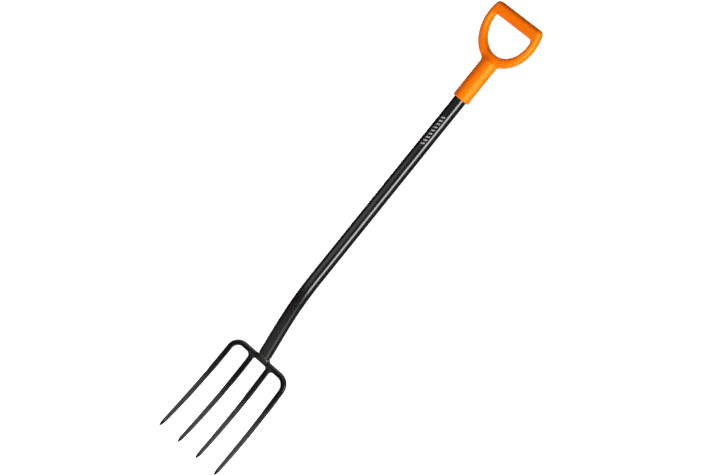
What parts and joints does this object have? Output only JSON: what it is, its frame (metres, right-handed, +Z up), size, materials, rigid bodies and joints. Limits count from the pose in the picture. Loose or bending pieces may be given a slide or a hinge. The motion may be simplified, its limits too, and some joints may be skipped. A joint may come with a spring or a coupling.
{
  "type": "digging fork",
  "caption": "Digging fork with a bent teardrop shaft, a moulded D handle and curved tines welded to a crossbar.",
  "frame": {"origin": "on the shaft's axis, at the lower rim of the handle's socket, where a rack's fork holder carries the tool", "axes": "+Z up along the upper shaft, -Y to the front of the tool (the hollow side of the tines), +X to the tool's side"},
  "size_m": [0.1804, 0.0951, 1.1748],
  "materials": {
    "handle": "orange moulded nylon, semi-gloss",
    "sleeve": "black, glossy",
    "tube": "black paint on steel",
    "head": "satin black paint on forged steel",
    "weld": "satin black paint on a weld bead",
    "screw": "zinc-plated"
  },
  "bodies": {
    "root": {"d_handle": "handle", "handle_screw": "screw", "shaft_sleeve": "sleeve", "shaft_tube": "tube", "head_tang": "head", "shaft_weld": "weld", "tine_bow": "head", "inner_tine_left": "head", "inner_weld_left": "weld", "inner_tine_right": "head", "inner_weld_right": "weld"}
  },
  "joints": []
}
